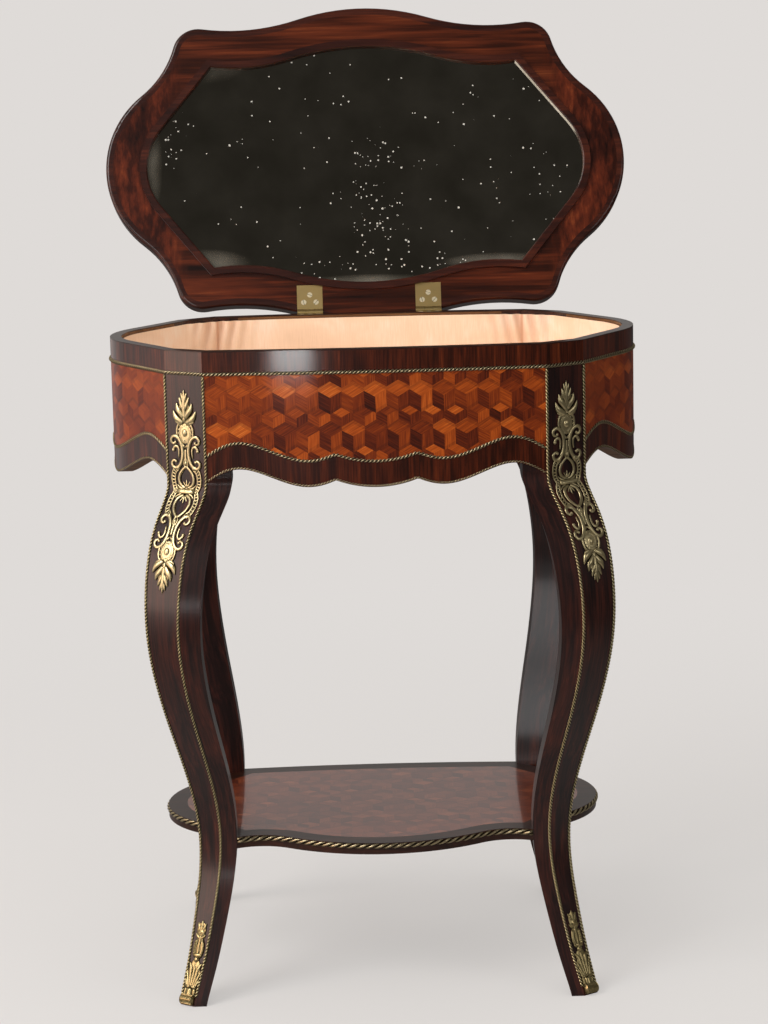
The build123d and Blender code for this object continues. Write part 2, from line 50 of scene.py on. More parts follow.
def plug(material, target, inputs):
    """Set inputs of a node. Each is a value, or the node or socket that it is linked from."""
    for name, value in inputs.items():
        if isinstance(value, bpy.types.Node):
            value = value.outputs[0]
        if isinstance(value, bpy.types.NodeSocket):
            material.node_tree.links.new(value, target.inputs[name])
        else:
            target.inputs[name].default_value = value


def node(material, kind, inputs=None, stops=(), **settings):
    """Add a shader node with its inputs, the stops of its colour ramp and its other settings."""
    added = material.node_tree.nodes.new("ShaderNode" + kind)
    elements = added.color_ramp.elements if stops else []
    while len(elements) < len(stops):
        elements.new(0.5)
    for element, (place, colour) in zip(elements, stops):
        element.position = place
        element.color = linear(colour)
    for setting, value in settings.items():
        setattr(added, setting, value)
    plug(material, added, inputs or {})
    return added


def surface(name):
    """A new material, its shader, and the coordinates of the object it is on."""
    material = bpy.data.materials.new(name)
    material.use_nodes = True
    place = node(material, "TexCoord").outputs["Object"]
    return material, material.node_tree.nodes["Principled BSDF"], place


def dress(material, *names):
    """Give CAD pieces a finish."""
    for name in names:
        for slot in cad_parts[name].material_slots:
            slot.material = material


def grain(material, place, stops, width):
    """Wood tone for grain that runs along Z of place, with streaks of a width in metres."""
    fine = node(material, "VectorMath", {0: place, 1: (1 / width, 1 / width, 0.035 / width)},
                operation="MULTIPLY")
    broad = node(material, "VectorMath", {0: fine, 1: (0.16, 0.16, 0.5)}, operation="MULTIPLY")
    streaks = node(material, "TexNoise", {"Vector": fine, "Scale": 1.0, "Detail": 5.0, "Roughness": 0.62})
    figure = node(material, "TexNoise", {"Vector": broad, "Scale": 1.0, "Detail": 3.0, "Distortion": 0.7})
    tone = node(material, "Mix", {"Factor": 0.5, 2: streaks, 3: figure}, data_type="FLOAT")
    return node(material, "ValToRGB", {"Fac": tone}, stops), streaks


def french_polish(material, shader, colour, streaks, roughness, coat, haze=0.07):
    """Shellac over wood: the colour from below, a clear coat on top, and grain telegraphing through."""
    bump = node(material, "Bump", {"Height": streaks, "Strength": 0.5, "Distance": 0.00004})
    plug(material, shader, {"Base Color": colour, "Normal": bump, "Roughness": roughness,
                            "Specular IOR Level": 0.2, "Coat Weight": coat, "Coat Roughness": haze,
                            "Coat IOR": 1.52})


def plain_wood(name, stops, width, roughness, coat, haze=0.07, level=False):
    """A polished wood whose grain stands upright, or lies level along X."""
    material, shader, place = surface(name)
    if level:
        place = node(material, "Mapping", {"Vector": place, "Rotation": (0, pi / 2, 0)})
    colour, streaks = grain(material, place, stops, width)
    french_polish(material, shader, colour, streaks, roughness, coat, haze)
    return material


# Oak, planed and waxed: a low sheen over straight open grain
oak = plain_wood("waxed_oak", [(0.25, "4a2f1b"), (0.5, "6f4a2c"), (0.75, "8a6440")], 0.0025, 0.5, 0.1,
                 level=True)
dress(oak, "front_rail", "back_rail", "left_rail", "right_rail", "case_floor", "floor_ledges")

# ---------------------------------------------------------------- legs
# Four cabriole legs in veneered beech, square to the corner of the case, each going up as its
# canted post. The veneer follows the curve of the leg and has darkened to plum and near black.
LEG_CORNER = Vector((0.209, 0.1565, 0))
OUTWARD = Vector((0.5408, 0.8412, 0))
CHAMFER = Vector((0.8412, -0.5408, 0))
# How far the outer face stands out from the corner, at heights up the leg
REACH = [(0.0, 0.036), (0.08, 0.002), (0.178, -0.020), (0.3, 0.016), (0.38, 0.048), (0.44, 0.056),
         (0.5, 0.049), (0.555, 0.024), (0.6, 0.0), (0.74, 0.0)]
REACH_LOW, REACH_SPAN = -0.022, 0.08


def along_leg(material, place):
    """Coordinates that follow a leg: across its face, in from its face, and up."""
    folded = node(material, "VectorMath", {0: place}, operation="ABSOLUTE")
    centred = node(material, "VectorMath", {0: folded, 1: LEG_CORNER}, operation="SUBTRACT")
    across = node(material, "VectorMath", {0: centred, 1: CHAMFER}, operation="DOT_PRODUCT")
    out = node(material, "VectorMath", {0: centred, 1: OUTWARD}, operation="DOT_PRODUCT")
    height = node(material, "SeparateXYZ", {0: place})
    share = node(material, "Math", {0: height.outputs["Z"], 1: REACH[-1][0]}, operation="DIVIDE")
    curve = node(material, "FloatCurve", {"Value": share})
    points = curve.mapping.curves[0].points
    while len(points) < len(REACH):
        points.new(0.5, 0.5)
    for point, (level, reach) in zip(points, REACH):
        point.location = (level / REACH[-1][0], (reach - REACH_LOW) / REACH_SPAN)
    curve.mapping.update()
    reach = node(material, "Math", {0: curve, 1: REACH_SPAN, 2: REACH_LOW}, operation="MULTIPLY_ADD")
    depth = node(material, "Math", {0: out.outputs["Value"], 1: reach}, operation="SUBTRACT")
    return node(material, "CombineXYZ", {"X": across.outputs["Value"], "Y": depth, "Z": height.outputs["Z"]})


# Rosewood veneer under old French polish: near black with plum and rust streaks up the leg
rosewood, rosewood_shader, rosewood_place = surface("polished_rosewood")
rosewood_colour, rosewood_streaks = grain(
    rosewood, along_leg(rosewood, rosewood_place),
    [(0.28, "0a0403"), (0.46, "200d0a"), (0.6, "3e1a11"), (0.76, "68301c")], 0.0022)
french_polish(rosewood, rosewood_shader, rosewood_colour, rosewood_streaks, 0.42, 0.5, haze=0.2)
dress(rosewood, "leg_front_left", "leg_front_right", "leg_rear_left", "leg_rear_right")

# ---------------------------------------------------------------- cube parquetry of the case
# Front, back and ends are laid with lozenges of kingwood and tulipwood, set as stacked cubes.
# Each lozenge is cut with its grain along one pair of sides, and the tones are mixed by eye.
CUBE_WIDTH = 0.0248
# Each end is an arc between straight flanks: its radius, half its width, and the flanks' slant
END_ARC_RADIUS, END_SPRING, END_FLANK = 0.1189, 0.0647, radians(33)
PARQUETRY_TONES = [(0.0, "2e0e03"), (0.2, "501904"), (0.42, "742b07"), (0.62, "98400b"), (0.82, "bb5717"),
                   (1.0, "d67a2e")]


def cube_parquetry(material, shader, across, up, roughness, coat, tones=PARQUETRY_TONES):
    """Stacked cubes on a surface whose own distances, in metres, are across and up."""
    # Each point's own hexagon is the nearer one of two rectangular grids of centres
    half = (0.5, sqrt(3) / 2, 0.5)
    minus_half = (-0.5, -sqrt(3) / 2, -0.5)
    flat = node(material, "CombineXYZ", {"X": across, "Y": up})
    wander = node(material, "TexNoise", {"Vector": flat, "Scale": 25.0, "Detail": 1.0})
    drift = node(material, "VectorMath", {0: wander.outputs["Color"], 1: (0.5, 0.5, 0.5)},
                 operation="SUBTRACT")
    laid = node(material, "VectorMath", {0: drift, 1: (0.0022, 0.0022, 0.0), 2: flat},
                operation="MULTIPLY_ADD")
    scaled = node(material, "VectorMath", {0: laid, "Scale": 1 / CUBE_WIDTH}, operation="SCALE")
    first = node(material, "VectorMath", {0: scaled, 1: minus_half, 2: half}, operation="WRAP")
    moved = node(material, "VectorMath", {0: scaled, 1: half}, operation="SUBTRACT")
    second = node(material, "VectorMath", {0: moved, 1: minus_half, 2: half}, operation="WRAP")
    first_off = node(material, "VectorMath", {0: first}, operation="LENGTH")
    second_off = node(material, "VectorMath", {0: second}, operation="LENGTH")
    nearer = node(material, "Math", {0: second_off.outputs["Value"], 1: first_off.outputs["Value"]},
                  operation="LESS_THAN")
    local = node(material, "Mix", {"Factor": nearer, 4: first, 5: second}, data_type="VECTOR")
    local = local.outputs[1]
    centre = node(material, "VectorMath", {0: scaled, 1: local}, operation="SUBTRACT")
    nudged = node(material, "VectorMath", {0: centre, 1: (0.1, 0.1, 0.1)}, operation="ADD")
    cell = node(material, "VectorMath", {0: nudged, 1: (0.25, sqrt(3) / 4, 1.0)}, operation="SNAP")
    # Three lozenges share a hexagon, by the angle round its centre
    xy = node(material, "SeparateXYZ", {0: local})
    angle = node(material, "Math", {0: xy.outputs["Y"], 1: xy.outputs["X"]}, operation="ARCTAN2")
    turns = node(material, "Math", {0: angle, 1: 3 / (2 * pi), 2: -0.25}, operation="MULTIPLY_ADD")
    round_turns = node(material, "Math", {0: turns, 1: 3.0, 2: 0.0}, operation="WRAP")
    side = node(material, "Math", {0: round_turns}, operation="FLOOR")
    chosen = node(material, "Math", {0: side, 1: 2 * pi / 3, 2: pi / 6}, operation="MULTIPLY_ADD")
    one = node(material, "CombineXYZ", {"Z": side})
    piece = node(material, "VectorMath", {0: cell, 1: one}, operation="ADD")
    chance = node(material, "TexWhiteNoise", {"Vector": piece}, noise_dimensions="3D")
    turned = node(material, "VectorRotate", {"Vector": local, "Angle": chosen},
                  rotation_type="Z_AXIS", invert=True)
    # Streaks 1.2 mm wide along each lozenge, shifted from piece to piece
    stretched = node(material, "VectorMath", {0: turned, 1: (1.1, 20.0, 1.0)}, operation="MULTIPLY")
    shift = node(material, "VectorMath", {0: chance.outputs["Color"], "Scale": 60.0}, operation="SCALE")
    own = node(material, "VectorMath", {0: stretched, 1: shift}, operation="ADD")
    streaks = node(material, "TexNoise", {"Vector": own, "Scale": 1.0, "Detail": 3.0})
    # Tops of the cubes lean light, and left faces lean dark
    lean = node(material, "Math", {0: side, 1: 1.0}, operation="SUBTRACT")
    lean_off = node(material, "Math", {0: lean}, operation="ABSOLUTE")
    bias = node(material, "Math", {0: lean_off, 1: 0.1, 2: -0.02}, operation="MULTIPLY_ADD")
    top = node(material, "Math", {0: side, 1: 0.5}, operation="LESS_THAN")
    lifted = node(material, "Math", {0: top, 1: 0.14, 2: bias}, operation="MULTIPLY_ADD")
    tone = node(material, "Math", {0: chance.outputs["Value"], 1: 0.5, 2: lifted}, operation="MULTIPLY_ADD")
    grained = node(material, "Math", {0: streaks, 1: 0.75, 2: tone}, operation="MULTIPLY_ADD")
    settled = node(material, "Math", {0: grained, 1: 0.23}, operation="SUBTRACT")
    colour = node(material, "ValToRGB", {"Fac": settled}, tones)
    # Glue lines between the hexagons, under half a millimetre wide
    size = node(material, "VectorMath", {0: local}, operation="ABSOLUTE")
    flank = node(material, "VectorMath", {0: size, 1: (0.5, sqrt(3) / 2, 0.0)}, operation="DOT_PRODUCT")
    wide = node(material, "SeparateXYZ", {0: size})
    rim = node(material, "Math", {0: flank.outputs["Value"], 1: wide.outputs["X"]}, operation="MAXIMUM")
    line = node(material, "MapRange", {"Value": rim, "From Min": 0.485, "From Max": 0.498,
                                       "To Min": 0.0, "To Max": 0.25})
    darkened = node(material, "Mix", {"Factor": line, 6: colour, 7: linear("250d06")}, data_type="RGBA")
    french_polish(material, shader, darkened.outputs[2], streaks, roughness, coat)


# Polished parquetry on the flat sides of the case, measured across and up
front_cubes, front_shader, front_place = surface("cube_parquetry_front")
front_place = node(front_cubes, "SeparateXYZ", {0: front_place})
cube_parquetry(front_cubes, front_shader, front_place.outputs["X"], front_place.outputs["Z"], 0.42, 0.15)
dress(front_cubes, "front_parquetry", "back_parquetry")

# The ends are bowed, so their distance across is measured round the bow and along the flanks, and
# they have faded, so their tones lie closer together
end_cubes, end_shader, end_place = surface("cube_parquetry_ends")
end_place = node(end_cubes, "SeparateXYZ", {0: end_place})
end_bow = node(end_cubes, "Clamp", {"Value": end_place.outputs["Y"], "Min": -END_SPRING, "Max": END_SPRING})
end_sine = node(end_cubes, "Math", {0: end_bow, 1: END_ARC_RADIUS}, operation="DIVIDE")
end_angle = node(end_cubes, "Math", {0: end_sine}, operation="ARCSINE")
end_rest = node(end_cubes, "Math", {0: end_place.outputs["Y"], 1: end_bow}, operation="SUBTRACT")
end_straight = node(end_cubes, "Math", {0: end_rest, 1: cos(END_FLANK)}, operation="DIVIDE")
end_across = node(end_cubes, "Math", {0: end_angle, 1: END_ARC_RADIUS, 2: end_straight},
                  operation="MULTIPLY_ADD")
cube_parquetry(end_cubes, end_shader, end_across, end_place.outputs["Z"], 0.42, 0.2,
               [(0.0, "451304"), (0.35, "6c2608"), (0.7, "8a390d"), (1.0, "a84e17")])
dress(end_cubes, "left_parquetry", "right_parquetry")

# ---------------------------------------------------------------- crossbanding of the case
# Strips of very dark kingwood round the rim and along the apron, laid with the grain upright,
# and a thin lipping of the same wood over the top edge of the case.

# Kingwood under a harder polish than the legs have: nearly black, with rust streaks
crossband = plain_wood("kingwood_crossbanding",
                       [(0.28, "120401"), (0.45, "301005"), (0.6, "54200b"), (0.78, "8c4218")],
                       0.0018, 0.34, 0.45, haze=0.09)
dress(crossband, "top_band", "front_apron_band", "back_apron_band", "left_apron_band", "right_apron_band")

# The same wood laid lengthwise, and duller
lipping = plain_wood("kingwood_lipping", [(0.3, "180a06"), (0.5, "2c150c"), (0.75, "482618")],
                     0.002, 0.4, 0.3, level=True)
dress(lipping, "rim_lipping")

# ---------------------------------------------------------------- rope mouldings of the case
# Twisted brass rope, pinned to the veneer: one length round the case under the top band, and on
# each side a wavy length above the apron and a finer one on its lower edge.
ROPE_RADIUS, ROPE_PITCH = 0.0023, 0.0129
EDGE_ROPE_RADIUS, EDGE_ROPE_PITCH = 0.0016, 0.0105
ROPE_SINK = 0.0009
ROPE_HEIGHT, BAND_ABOVE_ROPE = 0.715, 0.003
SHORT_OF_BEAD, SHORT_OF_END_BEAD = 0.1855, 0.1407
WAVE_STEPS = 94
# Where rays that look for a panel start from, and how far behind its face they look for its edge
PANEL_LEVEL, OUTSIDE, UNDERNEATH, BEHIND_FACE = 0.69, 0.4, 0.5, 0.0005


def brass(name, bright, recess, roughness, reach=None):
    """Old lacquered brass with patina, pale on what stands proud, and painted shade darkening its hollows."""
    material, shader, place = surface(name)
    patina = node(material, "TexNoise", {"Vector": place, "Scale": 260.0, "Detail": 4.0})
    # Painted shade: a casting darkens in its hollows, and a rope between its strands
    if reach:
        hollow_shade = node(material, "AmbientOcclusion", {"Distance": reach}, samples=6).outputs["AO"]
    else:
        hollow_shade = node(material, "Attribute", attribute_name="crest").outputs["Fac"]
    # worn mixes the random patina with the painted shade
    worn = node(material, "Math", {0: patina, 1: 0.5, 2: hollow_shade}, operation="MULTIPLY_ADD")
    spread = node(material, "MapRange", {"Value": worn, "From Min": 0.62, "From Max": 1.18})
    colour = node(material, "Mix",
                  {"Factor": spread.outputs[0], 6: linear(recess), 7: linear(bright)}, data_type="RGBA")
    dull = node(material, "MapRange", {"Value": worn, "From Min": 0.6, "From Max": 1.3,
                                       "To Min": roughness + 0.25, "To Max": roughness})
    plug(material, shader, {"Base Color": colour.outputs[2], "Roughness": dull, "Metallic": 1.0})
    return material


def guide_line(points, closed=False):
    """A curve through points, for a moulding to follow."""
    line = bpy.data.curves.new("guide", "CURVE")
    line.dimensions = "3D"
    spline = line.splines.new("POLY")
    spline.points.add(len(points) - 1)
    for target, place in zip(spline.points, points):
        target.co = (*place, 1)
    spline.use_cyclic_u = closed
    guide = bpy.data.objects.new("guide", line)
    bpy.context.collection.objects.link(guide)
    return guide


def pick(piece):
    """Make a piece the only one that is selected."""
    bpy.ops.object.select_all(action="DESELECT")
    piece.select_set(True)
    bpy.context.view_layer.objects.active = piece


def edit_all(piece):
    """Open a piece's mesh with all of it selected."""
    pick(piece)
    bpy.ops.object.mode_set(mode="EDIT")
    bpy.ops.mesh.select_all(action="SELECT")


def tidy_shell(piece):
    """Weld what meets, close open ends and turn the faces outwards."""
    edit_all(piece)
    bpy.ops.mesh.remove_doubles(threshold=0.00002)
    bpy.ops.mesh.select_all(action="DESELECT")
    bpy.ops.mesh.select_non_manifold()
    bpy.ops.mesh.fill_holes(sides=0)
    bpy.ops.mesh.select_all(action="SELECT")
    bpy.ops.mesh.normals_make_consistent(inside=False)
    bpy.ops.object.mode_set(mode="OBJECT")
    bpy.ops.object.shade_smooth()


def joined(pieces, name):
    """Join pieces into the first of them."""
    pick(pieces[0])
    for piece in pieces:
        piece.select_set(True)
    if len(pieces) > 1:
        bpy.ops.object.join()
    pieces[0].name = name
    return pieces[0]


def twisted_rope(guide, radius, pitch, strands=3):
    """Strands of wire twisted together and bent along a guide, which is used up."""
    length = guide.data.splines[0].calc_length()
    crests = round(length / pitch * strands)
    bpy.ops.mesh.primitive_circle_add(vertices=4 * strands, radius=radius, rotation=(0, pi / 2, 0))
    rope = bpy.context.object
    bpy.ops.object.transform_apply(rotation=True)
    # crest is painted shade across each strand: full on its crest, dark in the groove to the next strand
    crest = rope.data.attributes.new("crest", "FLOAT", "POINT")
    for index, corner in enumerate(rope.data.vertices):
        corner.co *= (1.0, 0.88, 0.48, 0.88)[index % 4]
        crest.data[index].value = (1.0, 0.75, 0.0, 0.75)[index % 4]
    twist = rope.modifiers.new("twist", "SCREW")
    twist.axis = "X"
    twist.angle = -2 * pi * crests / strands
    twist.screw_offset = length
    twist.steps = twist.render_steps = crests * 4
    bend = rope.modifiers.new("bend", "CURVE")
    bend.object = guide
    bend.deform_axis = "POS_X"
    pick(rope)
    for modifier in (twist.name, bend.name):
        bpy.ops.object.modifier_apply(modifier=modifier)
    tidy_shell(rope)
    bpy.data.objects.remove(guide)
    return rope


def mirrored(piece, axis):
    """A copy of a piece on the other side of the middle plane across an axis."""
    pick(piece)
    bpy.ops.object.duplicate()
    other = bpy.context.object
    other.scale["XYZ".index(axis)] = -1
    bpy.ops.object.transform_apply(scale=True)
    edit_all(other)
    bpy.ops.mesh.normals_make_consistent(inside=False)
    bpy.ops.object.mode_set(mode="OBJECT")
    return other


def face_point(name, start, direction):
    """Where a ray meets a CAD piece."""
    found, place, _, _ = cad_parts[name].ray_cast(Vector(start), Vector(direction))
    return place if found else None


def front_wave(name, x):
    """The point of a wavy lower edge on the front, at a distance from the middle."""
    face = face_point("front_parquetry", (x, -OUTSIDE, PANEL_LEVEL), (0, 1, 0))
    edge = face_point(name, (x, face.y + BEHIND_FACE, UNDERNEATH), (0, 0, 1))
    return Vector((x, face.y + ROPE_SINK, edge.z))


def end_wave(name, y):
    """The same on the right end, following its bow."""
    face = face_point("right_parquetry", (OUTSIDE, y, PANEL_LEVEL), (-1, 0, 0))
    edge = face_point(name, (face.x - BEHIND_FACE, y, UNDERNEATH), (0, 0, 1))
    return Vector((face.x - ROPE_SINK, y, edge.z))


def cut_outline(name, height, choose):
    """The longest or the shortest closed line where a level plane cuts a CAD piece."""
    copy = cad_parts[name].copy()
    copy.data = copy.data.copy()
    bpy.context.collection.objects.link(copy)
    edit_all(copy)
    bpy.ops.mesh.remove_doubles(threshold=0.00001)
    bpy.ops.mesh.bisect(plane_co=(0, 0, height), plane_no=(0, 0, 1), clear_inner=True, clear_outer=True)
    bpy.ops.object.mode_set(mode="OBJECT")
    bpy.ops.object.convert(target="CURVE")
    line = choose(copy.data.splines, key=lambda loop: loop.calc_length())
    points = [Vector((p.co.x, p.co.y, height)) for p in line.points]
    bpy.data.objects.remove(copy)
    return points


# Aged brass, with painted shade nearly black between the strands
rope_brass = brass("aged_rope_brass", "c6b48e", "22180f", 0.3)

# Round the case the rope follows the line of the veneer just above it
band_line = cut_outline("top_band", ROPE_HEIGHT + BAND_ABOVE_ROPE, max)
around = [Vector((p.x, p.y, ROPE_HEIGHT)) for p in band_line]
upper_rope = twisted_rope(guide_line(around, closed=True), ROPE_RADIUS, ROPE_PITCH)
upper_rope.name = "rope_round_case"
upper_rope.data.materials.append(rope_brass)
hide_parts("upper_rope")
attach(upper_rope, "table")


def apron_ropes(name, panel, end_panel, radius, pitch, lift, replaced):
    """A rope along the lower edge of the front panel and of the right end, and their mirror images."""
    raised = Vector((0, 0, lift))
    places = [SHORT_OF_BEAD * (2 * i / WAVE_STEPS - 1) for i in range(WAVE_STEPS + 1)]
    front = twisted_rope(guide_line([front_wave(panel, x) + raised for x in places]), radius, pitch)
    places = [SHORT_OF_END_BEAD * (2 * i / WAVE_STEPS - 1) for i in range(WAVE_STEPS + 1)]
    end = twisted_rope(guide_line([end_wave(end_panel, y) + raised for y in places]), radius, pitch)
    ropes = joined([front, end, mirrored(front, "Y"), mirrored(end, "X")], name)
    ropes.data.materials.append(rope_brass)
    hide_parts(replaced)
    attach(ropes, "table")


apron_ropes("ropes_above_apron", "front_parquetry", "right_parquetry", ROPE_RADIUS, ROPE_PITCH, 0,
            "apron_ropes")
apron_ropes("ropes_on_apron_edge", "front_apron_band", "right_apron_band", EDGE_ROPE_RADIUS, EDGE_ROPE_PITCH,
            EDGE_ROPE_RADIUS, "apron_edge_ropes")

# ---------------------------------------------------------------- beads on posts and legs
# A finer brass rope is let into both edges of each canted post and runs on down the leg to the
# foot, so that it follows the knee and the ankle.
BEAD_RADIUS, BEAD_PITCH = 0.0017, 0.0078
BEAD_TOP, BEAD_FOOT, BEAD_STEPS = 0.7124, 0.010, 90
LEG_TOP, FACE_TOP, FACE_FOOT = 0.6, 0.051, 0.0185
# The directions out from the front right leg and across its face, and where rays at it start
LEG_OUT = Vector((OUTWARD.x, -OUTWARD.y, 0))
LEG_ACROSS = Vector((CHAMFER.x, -CHAMFER.y, 0))
CLEAR_OF_LEG = 0.2

# The same brass, rubbed brighter by hands and cloths, with painted shade between the strands
bead_brass = brass("aged_bead_brass", "dccb9a", "3a2c18", 0.3)


def leg_face(height):
    """The middle of the front right leg's outer face at a height, and the face's normal there."""
    corner = Vector((LEG_CORNER.x, -LEG_CORNER.y, height))
    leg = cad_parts["leg_front_right"]
    found, place, normal, _ = leg.ray_cast(corner + LEG_OUT * CLEAR_OF_LEG, -LEG_OUT)
    return (place, normal) if found else (corner, LEG_OUT)


def half_face(height):
    """Half the width of a leg's outer face at a height."""
    return (FACE_FOOT + (FACE_TOP - FACE_FOOT) * min(height, LEG_TOP) / LEG_TOP) / 2


def bead_line(side):
    """The edge of the leg's outer face on one side, from the top down."""
    heights = [BEAD_TOP + (BEAD_FOOT - BEAD_TOP) * i / BEAD_STEPS for i in range(BEAD_STEPS + 1)]
    return [leg_face(z)[0] + LEG_ACROSS * side * half_face(z) for z in heights]


def four_legs(piece, name, replaced, material):
    """Finish a piece of the front right leg, and copy it to the other three."""
    piece.data.materials.append(material)
    rear = mirrored(piece, "Y")
    for made, corner in ((piece, "front_right"), (mirrored(piece, "X"), "front_left"),
                         (rear, "rear_right"), (mirrored(rear, "X"), "rear_left")):
        made.name = f"{name}_{corner}"
        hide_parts(f"{replaced}_{corner}")
        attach(made, "table")


beads = [twisted_rope(guide_line(bead_line(side)), BEAD_RADIUS, BEAD_PITCH, strands=2) for side in (-1, 1)]
four_legs(joined(beads, "beads"), "beads", "leg_beads", bead_brass)

# ---------------------------------------------------------------- corner mounts
# A pierced casting of gilt brass on each knee: palmette, cabochon, paired scrolls and a barred
# ribbon, and the same again downwards. It is chased after casting and pinned through the clasp.
MOUNT_MIDDLE, MOUNT_DROP = 0.584, 0.925
# A leaf or rib is a list of points up from the clasp, and of widths, in mm. A stud is its place, its
# half sizes and its height
PALMETTE = [([(1.2, 82), (5.2, 88), (9.0, 92), (10.0, 98.6)], [6.0, 8.6, 7.2, 0.8]),
            ([(2, 76), (8, 79.4), (12.4, 83), (15, 90)], [5.6, 8.4, 7.4, 0.8]),
            ([(1, 92), (4.2, 98), (6.4, 105)], [5.4, 7.2, 0.8]),
            ([(0.6, 101), (2.4, 105), (3.4, 109.6)], [4.4, 5.2, 0.8]),
            ([(4, 76), (9, 75.4), (12.4, 78.4)], [4.4, 5.0, 1.4])]
SHIELD = [([(0.4, 49.2), (6, 53.4), (10.4, 60), (11, 68), (8.6, 75), (3, 78.4)], [3.0] * 5 + [2.6]),
          ([(0, 56.4), (4.8, 58), (6.8, 64.6), (4.8, 71.4), (0, 73)], [1.8] * 5)]
SCROLLS = [([(13.4, 52.8), (17, 52.4), (19.4, 57), (15.4, 62), (8.6, 59.6), (4.6, 51.6), (3.7, 43.5),
             (4.4, 35.6), (8.6, 27.6), (15.4, 25), (19.4, 30), (17, 34.6), (13.4, 34.2)],
            [3.0, 3.6, 4.0, 4.2, 4.6, 4.8, 4.6, 4.8, 4.6, 4.2, 4.0, 3.6, 3.0]),
           ([(16.8, 44.6), (15, 50.4), (9.8, 50), (8.2, 44.4), (9.4, 37.4)], [3.6, 3.6, 3.2, 2.8, 1.8]),
           ([(0, 26), (5, 31.7), (0, 37.8)], [2.2, 2.6, 2.2])]
RIBBON = [([(0, 28), (4.8, 24.6), (9, 18.8), (10.2, 12), (7.4, 6.2), (1.4, 3.8)],
           [2.8, 3.6, 3.8, 3.8, 3.8, 3.4]),
          ([(0.4, 5), (3, 8), (4.2, 11)], [2.2, 2.4, 0.6]),
          ([(4.8, 2.4), (9.4, 3.8), (12.4, 7.4)], [2.8, 2.8, 1.2])]
RAILS = [[(10.4, 28), (15.2, 27), (18.8, 20.8), (19.6, 12.6), (18.2, 4.8), (14.8, -1.4)],
         [(9.8, 23.6), (12.4, 22.6), (14.6, 18.4), (15.0, 12.2), (14.2, 6.2), (11.8, 0.8)]]
RAIL_WIDTH, BAR_WIDTH, THIN_BAR_WIDTH = 2.2, 2.0, 1.9
STUDS = [(13.2, 54.2, 1.9, 1.9), (13.2, 33.2, 1.9, 1.9), (10.4, 26.2, 2.6, 2.6), (16.2, 45.6, 2.0, 2.0)]
# The cabochon's middle, and the spokes from its oval out to the shield
CABOCHON, SPOKE_TURN, SPOKE_WIDTH = 64.6, 0.42, 1.5
SPOKE_START, SPOKE_END = (7.6, 9), (10.2, 12)
MIDDLE = [([(0, 77), (0, 88), (0, 103), (0, 113)], [5.0, 6.4, 6.6, 0.8]),
          ([(0, 5), (0, 13)], [3.4, 0.8]),
          ([(0, 31.7), (0, 40), (0, 47)], [3.8, 4.4, 2.8])]
# Cabochon, boss, and the thin plates behind the shield and the palmette
BOSSES = [(0, 65.2, 3.8, 4.5, 2.2), (0, 31.7, 2.4, 2.4, 1.9), (0, 64.8, 9, 12, 0.5), (0, 90, 7.4, 15, 0.45)]
CLASP = [([(-11.4, 0), (11.4, 0)], [6.4, 6.4]), ([(-10.6, 3), (0, 4), (10.6, 3)], [1.7, 1.7, 1.7])]
CLASP_BOSS = (0, 0, 2.4, 2.4, 2.0)
LEAF_PRESS, LEAF_LIFT = 0.62, 0.0008


def strand(points, widths):
    """A chased leaf or rib: a round section along points, pressed flat. All sizes are in mm."""
    line = bpy.data.curves.new("strand", "CURVE")
    line.dimensions = "3D"
    line.bevel_depth = 0.0005
    line.bevel_resolution = 1
    line.resolution_u = 5
    line.use_fill_caps = True
    spline = line.splines.new("NURBS")
    spline.points.add(len(points) - 1)
    for target, (x, y), width in zip(spline.points, points, widths):
        target.co = (x / 1000, y / 1000, 0, 1)
        target.radius = width
    spline.use_endpoint_u = True
    spline.order_u = 3
    rib = bpy.data.objects.new("strand", line)
    bpy.context.collection.objects.link(rib)
    pick(rib)
    bpy.ops.object.convert(target="MESH")
    rib = bpy.context.object
    rib.scale.z = LEAF_PRESS
    rib.location.z = LEAF_LIFT
    bpy.ops.object.transform_apply(location=True, scale=True)
    return rib


def stud(x, y, across, up, height=1.5):
    """A domed boss, in mm."""
    bpy.ops.mesh.primitive_uv_sphere_add(segments=12, ring_count=8, radius=0.001,
                                         location=(x / 1000, y / 1000, LEAF_LIFT))
    boss = bpy.context.object
    boss.scale = (across, up, height)
    bpy.ops.object.transform_apply(location=True, scale=True)
    return boss


def cast(pieces):
    """Join the parts of a casting with their faces outwards."""
    casting = joined(pieces, "casting")
    edit_all(casting)
    bpy.ops.mesh.remove_doubles(threshold=0.000005)
    bpy.ops.mesh.normals_make_consistent(inside=False)
    bpy.ops.object.mode_set(mode="OBJECT")
    bpy.ops.object.shade_smooth()
    return casting


def laid_on_leg(casting, base, stretch):
    """Bend a flat casting over the knee: its width stays level, and its length runs down the face.

    Below base a millimetre of the casting goes stretch millimetres down, as the face slopes."""
    for corner in casting.data.vertices:
        drop = corner.co.y if corner.co.y > 0 else corner.co.y * stretch
        place, normal = leg_face(base + drop)
        corner.co = place + LEG_ACROSS * corner.co.x + normal * corner.co.z
    casting.data.update()
    return casting


# Gilding worn to pale brass on the leaves, with painted shade nearly black in the hollows
gilt = brass("gilt_brass", "e0cd9d", "20180a", 0.31, 0.006)

